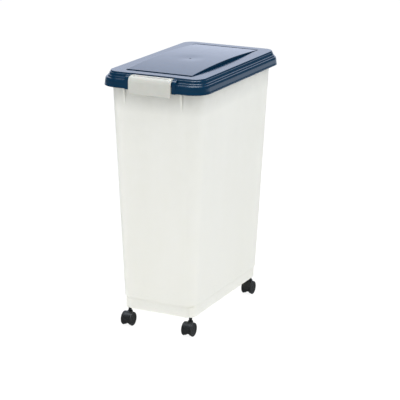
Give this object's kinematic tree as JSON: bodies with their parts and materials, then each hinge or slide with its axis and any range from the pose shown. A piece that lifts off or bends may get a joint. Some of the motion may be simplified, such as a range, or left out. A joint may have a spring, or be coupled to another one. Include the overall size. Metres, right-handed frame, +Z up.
{
  "type": "pet food bin",
  "caption": "Tall rolling bin for dry pet food: translucent tapered body, hinged lid with a seal, pivoting front latch, swivel twin-wheel casters.",
  "frame": {"origin": "on the floor under the middle of the bin", "axes": "+Z up, -Y towards the latch (the front), +X to the right as seen from the front"},
  "size_m": [0.27, 0.46, 0.64],
  "materials": {
    "pearl_pp": "translucent pearl-white polypropylene, satin, moulded",
    "navy_pp": "gloss moulded polypropylene, dark navy",
    "grey_pp": "satin moulded polypropylene, warm light grey",
    "seal_rubber": "soft matt elastomer",
    "black_nylon": "satin moulded nylon, black",
    "wheel_nylon": "satin moulded nylon, black, slightly worn on the tread",
    "zinc_steel": "zinc-plated steel"
  },
  "bodies": {
    "bin": {"bin_body": "pearl_pp", "hinge_pin_left": "zinc_steel", "hinge_pin_right": "zinc_steel", "caster_front_left_socket": "black_nylon", "caster_front_right_socket": "black_nylon", "caster_back_left_socket": "black_nylon", "caster_back_right_socket": "black_nylon"},
    "lid": {"lid": "navy_pp", "lid_gasket": "seal_rubber"},
    "latch": {"latch": "grey_pp"},
    "front_left_swivel": {"caster_front_left_stem": "black_nylon", "caster_front_left_hood": "black_nylon", "caster_front_left_axle": "zinc_steel"},
    "front_left_wheel_left": {"caster_front_left_wheel_left": "wheel_nylon"},
    "front_left_wheel_right": {"caster_front_left_wheel_right": "wheel_nylon"},
    "front_right_swivel": {"caster_front_right_stem": "black_nylon", "caster_front_right_hood": "black_nylon", "caster_front_right_axle": "zinc_steel"},
    "front_right_wheel_left": {"caster_front_right_wheel_left": "wheel_nylon"},
    "front_right_wheel_right": {"caster_front_right_wheel_right": "wheel_nylon"},
    "back_left_swivel": {"caster_back_left_stem": "black_nylon", "caster_back_left_hood": "black_nylon", "caster_back_left_axle": "zinc_steel"},
    "back_left_wheel_left": {"caster_back_left_wheel_left": "wheel_nylon"},
    "back_left_wheel_right": {"caster_back_left_wheel_right": "wheel_nylon"},
    "back_right_swivel": {"caster_back_right_stem": "black_nylon", "caster_back_right_hood": "black_nylon", "caster_back_right_axle": "zinc_steel"},
    "back_right_wheel_left": {"caster_back_right_wheel_left": "wheel_nylon"},
    "back_right_wheel_right": {"caster_back_right_wheel_right": "wheel_nylon"}
  },
  "joints": [
    {"name": "lid_hinge", "type": "hinge", "parent": "bin", "child": "lid", "pos_m": [0, 0.2245, 0.592], "axis": [-1, 0, 0], "range_deg": [0, 105]},
    {"name": "latch_pivot", "type": "hinge", "parent": "lid", "child": "latch", "pos_m": [0, -0.2154, 0.6228], "axis": [-1, 0, 0], "range_deg": [0, 100]},
    {"name": "front_left_swivel_turn", "type": "hinge", "parent": "bin", "child": "front_left_swivel", "pos_m": [-0.0818, -0.1726, 0.045], "axis": [0, 0, 1], "continuous": true},
    {"name": "front_left_wheel_left_spin", "type": "hinge", "parent": "front_left_swivel", "child": "front_left_wheel_left", "pos_m": [-0.0913, -0.1806, 0.017], "axis": [1, 0, 0], "continuous": true},
    {"name": "front_left_wheel_right_spin", "type": "hinge", "parent": "front_left_swivel", "child": "front_left_wheel_right", "pos_m": [-0.0723, -0.1806, 0.017], "axis": [1, 0, 0], "continuous": true},
    {"name": "front_right_swivel_turn", "type": "hinge", "parent": "bin", "child": "front_right_swivel", "pos_m": [0.0818, -0.1726, 0.045], "axis": [0, 0, 1], "continuous": true},
    {"name": "front_right_wheel_left_spin", "type": "hinge", "parent": "front_right_swivel", "child": "front_right_wheel_left", "pos_m": [0.0723, -0.1806, 0.017], "axis": [1, 0, 0], "continuous": true},
    {"name": "front_right_wheel_right_spin", "type": "hinge", "parent": "front_right_swivel", "child": "front_right_wheel_right", "pos_m": [0.0913, -0.1806, 0.017], "axis": [1, 0, 0], "continuous": true},
    {"name": "back_left_swivel_turn", "type": "hinge", "parent": "bin", "child": "back_left_swivel", "pos_m": [-0.0818, 0.1726, 0.045], "axis": [0, 0, 1], "continuous": true},
    {"name": "back_left_wheel_left_spin", "type": "hinge", "parent": "back_left_swivel", "child": "back_left_wheel_left", "pos_m": [-0.0913, 0.1646, 0.017], "axis": [1, 0, 0], "continuous": true},
    {"name": "back_left_wheel_right_spin", "type": "hinge", "parent": "back_left_swivel", "child": "back_left_wheel_right", "pos_m": [-0.0723, 0.1646, 0.017], "axis": [1, 0, 0], "continuous": true},
    {"name": "back_right_swivel_turn", "type": "hinge", "parent": "bin", "child": "back_right_swivel", "pos_m": [0.0818, 0.1726, 0.045], "axis": [0, 0, 1], "continuous": true},
    {"name": "back_right_wheel_left_spin", "type": "hinge", "parent": "back_right_swivel", "child": "back_right_wheel_left", "pos_m": [0.0723, 0.1646, 0.017], "axis": [1, 0, 0], "continuous": true},
    {"name": "back_right_wheel_right_spin", "type": "hinge", "parent": "back_right_swivel", "child": "back_right_wheel_right", "pos_m": [0.0913, 0.1646, 0.017], "axis": [1, 0, 0], "continuous": true}
  ]
}
